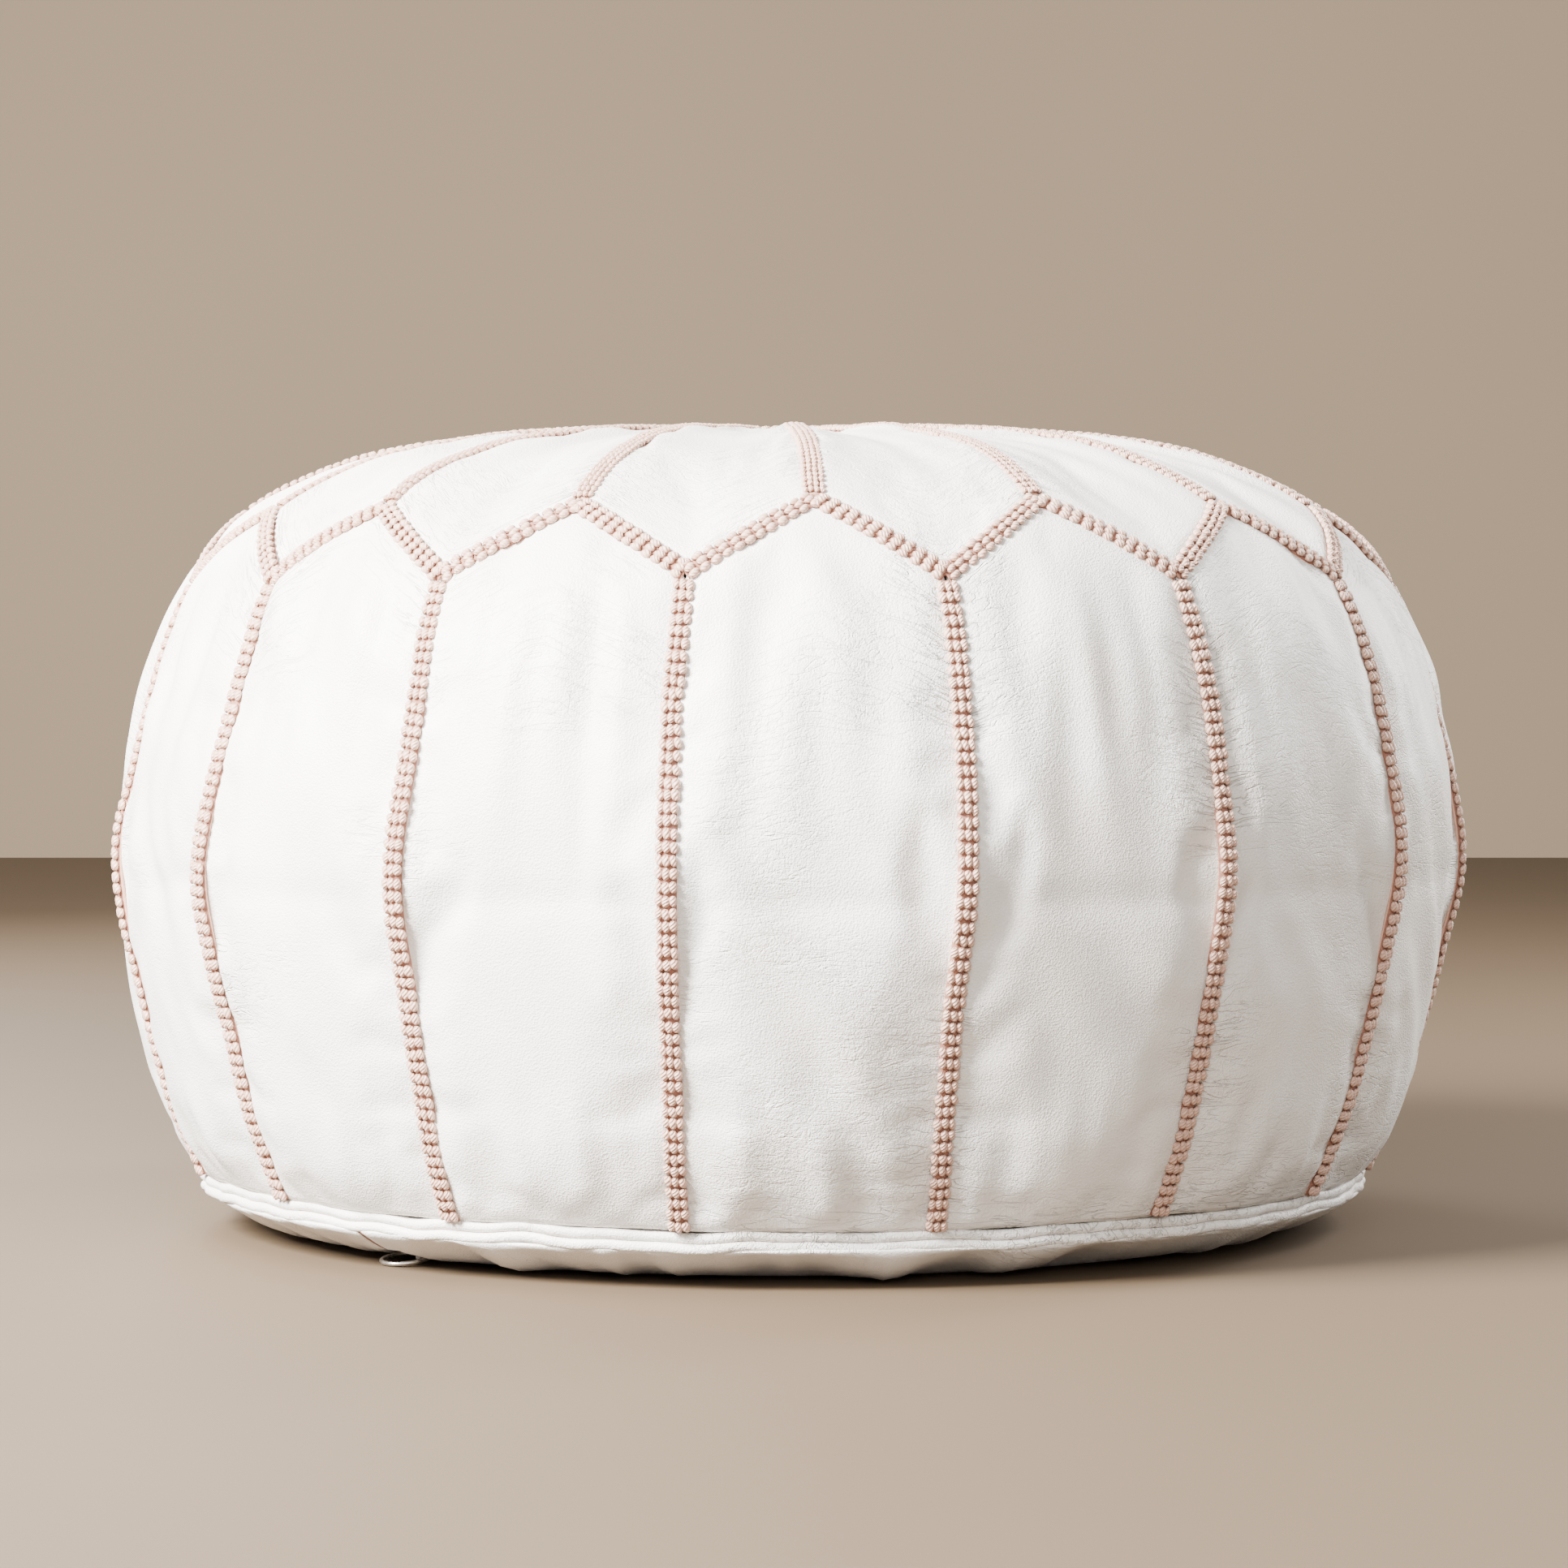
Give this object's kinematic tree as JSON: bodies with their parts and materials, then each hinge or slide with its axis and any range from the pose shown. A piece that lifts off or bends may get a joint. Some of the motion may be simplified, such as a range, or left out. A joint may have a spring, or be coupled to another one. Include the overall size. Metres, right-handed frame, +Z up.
{
  "type": "round leather floor pouf",
  "caption": "Round stuffed leather floor pouf with pointed side panels, petal-shaped top panels, broad embroidered seams and a zipped base.",
  "frame": {"origin": "middle of the underside, on the floor", "axes": "+Z up, -Y to the front; a side seam stands 9 degrees left of the front, and the closed end of the zip is at the front left"},
  "size_m": [0.5466, 0.5466, 0.3292],
  "materials": {
    "white_leather": "semi-matt white leather with a fine pebble grain",
    "blush_thread": "silky twisted embroidery thread, blush pink",
    "rust_tape": "woven zip tape, rust brown",
    "rust_coil": "moulded zip coil, rust brown",
    "plated_metal": "worn nickel plate",
    "cotton_filling": "packed cotton filling"
  },
  "bodies": {
    "cover": {"side_panel_01": "white_leather", "side_panel_02": "white_leather", "side_panel_03": "white_leather", "side_panel_04": "white_leather", "side_panel_05": "white_leather", "side_panel_06": "white_leather", "side_panel_07": "white_leather", "side_panel_08": "white_leather", "side_panel_09": "white_leather", "side_panel_10": "white_leather", "side_panel_11": "white_leather", "side_panel_12": "white_leather", "side_panel_13": "white_leather", "side_panel_14": "white_leather", "side_panel_15": "white_leather", "side_panel_16": "white_leather", "top_panel_01": "white_leather", "top_panel_02": "white_leather", "top_panel_03": "white_leather", "top_panel_04": "white_leather", "top_panel_05": "white_leather", "top_panel_06": "white_leather", "top_panel_07": "white_leather", "top_panel_08": "white_leather", "top_panel_09": "white_leather", "top_panel_10": "white_leather", "top_panel_11": "white_leather", "top_panel_12": "white_leather", "top_panel_13": "white_leather", "top_panel_14": "white_leather", "top_panel_15": "white_leather", "top_panel_16": "white_leather", "top_medallion": "white_leather", "side_braid_01": "blush_thread", "side_braid_02": "blush_thread", "side_braid_03": "blush_thread", "side_braid_04": "blush_thread", "side_braid_05": "blush_thread", "side_braid_06": "blush_thread", "side_braid_07": "blush_thread", "side_braid_08": "blush_thread", "side_braid_09": "blush_thread", "side_braid_10": "blush_thread", "side_braid_11": "blush_thread", "side_braid_12": "blush_thread", "side_braid_13": "blush_thread", "side_braid_14": "blush_thread", "side_braid_15": "blush_thread", "side_braid_16": "blush_thread", "crown_braid": "blush_thread", "rim_welt": "white_leather", "base_panel_front": "white_leather", "base_panel_back": "white_leather", "zip_tape_front": "rust_tape", "zip_tape_back": "rust_tape", "zip_coil_front": "rust_coil", "zip_coil_back": "rust_coil", "stuffing": "cotton_filling"},
    "slider": {"zip_slider": "plated_metal"},
    "pull_ring": {"zip_pull_ring": "plated_metal"}
  },
  "joints": [
    {"name": "zip_slide", "type": "slide", "parent": "cover", "child": "slider", "axis": [0.6788, 0.7343, 0], "range_m": [0, 0.408]},
    {"name": "pull_ring_hinge", "type": "hinge", "parent": "slider", "child": "pull_ring", "pos_m": [-0.13847, -0.1498, 0.0033], "axis": [0.7343, -0.6788, 0], "range_deg": [0, 166]}
  ]
}
